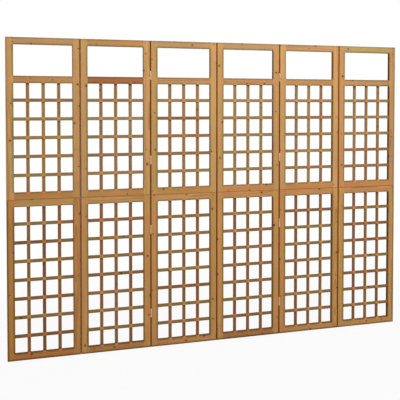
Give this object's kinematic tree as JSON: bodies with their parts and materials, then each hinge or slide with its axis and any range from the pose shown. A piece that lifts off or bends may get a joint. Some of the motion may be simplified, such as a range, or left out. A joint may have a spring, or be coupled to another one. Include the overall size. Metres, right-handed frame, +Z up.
{
  "type": "folding screen",
  "caption": "Free-standing accordion folding screen of hinged fir columns, each a grid trellis with an open window at the top.",
  "frame": {"origin": "middle of the flat screen's footprint, on the floor", "axes": "+X along the flat screen to the right of someone facing its front, +Y from the front to the back, +Z up"},
  "size_m": [2.4248, 0.033, 1.8],
  "materials": {
    "stained_fir": "satin brown stain on knotty fir",
    "hinge_steel": "bright zinc plating, slightly yellow"
  },
  "bodies": {
    "column_1": {"upper_trellis_frame_1": "stained_fir", "lower_trellis_frame_1": "stained_fir", "joining_plate_1": "hinge_steel", "hinge_12_a_plain_leaf": "hinge_steel", "hinge_12_b_plain_leaf": "hinge_steel", "hinge_12_c_plain_leaf": "hinge_steel", "hinge_12_d_plain_leaf": "hinge_steel"},
    "column_2": {"upper_trellis_frame_2": "stained_fir", "lower_trellis_frame_2": "stained_fir", "joining_plate_2": "hinge_steel", "hinge_12_a_pin_leaf": "hinge_steel", "hinge_12_b_pin_leaf": "hinge_steel", "hinge_12_c_pin_leaf": "hinge_steel", "hinge_12_d_pin_leaf": "hinge_steel", "hinge_23_a_pin_leaf": "hinge_steel", "hinge_23_b_pin_leaf": "hinge_steel", "hinge_23_c_pin_leaf": "hinge_steel", "hinge_23_d_pin_leaf": "hinge_steel"},
    "column_3": {"upper_trellis_frame_3": "stained_fir", "lower_trellis_frame_3": "stained_fir", "joining_plate_3": "hinge_steel", "hinge_23_a_plain_leaf": "hinge_steel", "hinge_23_b_plain_leaf": "hinge_steel", "hinge_23_c_plain_leaf": "hinge_steel", "hinge_23_d_plain_leaf": "hinge_steel", "hinge_34_a_plain_leaf": "hinge_steel", "hinge_34_b_plain_leaf": "hinge_steel", "hinge_34_c_plain_leaf": "hinge_steel", "hinge_34_d_plain_leaf": "hinge_steel"},
    "column_4": {"upper_trellis_frame_4": "stained_fir", "lower_trellis_frame_4": "stained_fir", "joining_plate_4": "hinge_steel", "hinge_34_a_pin_leaf": "hinge_steel", "hinge_34_b_pin_leaf": "hinge_steel", "hinge_34_c_pin_leaf": "hinge_steel", "hinge_34_d_pin_leaf": "hinge_steel", "hinge_45_a_pin_leaf": "hinge_steel", "hinge_45_b_pin_leaf": "hinge_steel", "hinge_45_c_pin_leaf": "hinge_steel", "hinge_45_d_pin_leaf": "hinge_steel"},
    "column_5": {"upper_trellis_frame_5": "stained_fir", "lower_trellis_frame_5": "stained_fir", "joining_plate_5": "hinge_steel", "hinge_45_a_plain_leaf": "hinge_steel", "hinge_45_b_plain_leaf": "hinge_steel", "hinge_45_c_plain_leaf": "hinge_steel", "hinge_45_d_plain_leaf": "hinge_steel", "hinge_56_a_plain_leaf": "hinge_steel", "hinge_56_b_plain_leaf": "hinge_steel", "hinge_56_c_plain_leaf": "hinge_steel", "hinge_56_d_plain_leaf": "hinge_steel"},
    "column_6": {"upper_trellis_frame_6": "stained_fir", "lower_trellis_frame_6": "stained_fir", "joining_plate_6": "hinge_steel", "hinge_56_a_pin_leaf": "hinge_steel", "hinge_56_b_pin_leaf": "hinge_steel", "hinge_56_c_pin_leaf": "hinge_steel", "hinge_56_d_pin_leaf": "hinge_steel"}
  },
  "joints": [
    {"name": "fold_12", "type": "hinge", "parent": "column_1", "child": "column_2", "pos_m": [-0.8088, 0.0135, 0], "axis": [0, 0, 1], "range_deg": [0, 178]},
    {"name": "fold_23", "type": "hinge", "parent": "column_2", "child": "column_3", "pos_m": [-0.4044, -0.0135, 0], "axis": [0, 0, -1], "range_deg": [0, 178]},
    {"name": "fold_34", "type": "hinge", "parent": "column_3", "child": "column_4", "pos_m": [0, 0.0135, 0], "axis": [0, 0, 1], "range_deg": [0, 178]},
    {"name": "fold_45", "type": "hinge", "parent": "column_4", "child": "column_5", "pos_m": [0.4044, -0.0135, 0], "axis": [0, 0, -1], "range_deg": [0, 178]},
    {"name": "fold_56", "type": "hinge", "parent": "column_5", "child": "column_6", "pos_m": [0.8088, 0.0135, 0], "axis": [0, 0, 1], "range_deg": [0, 178]}
  ]
}
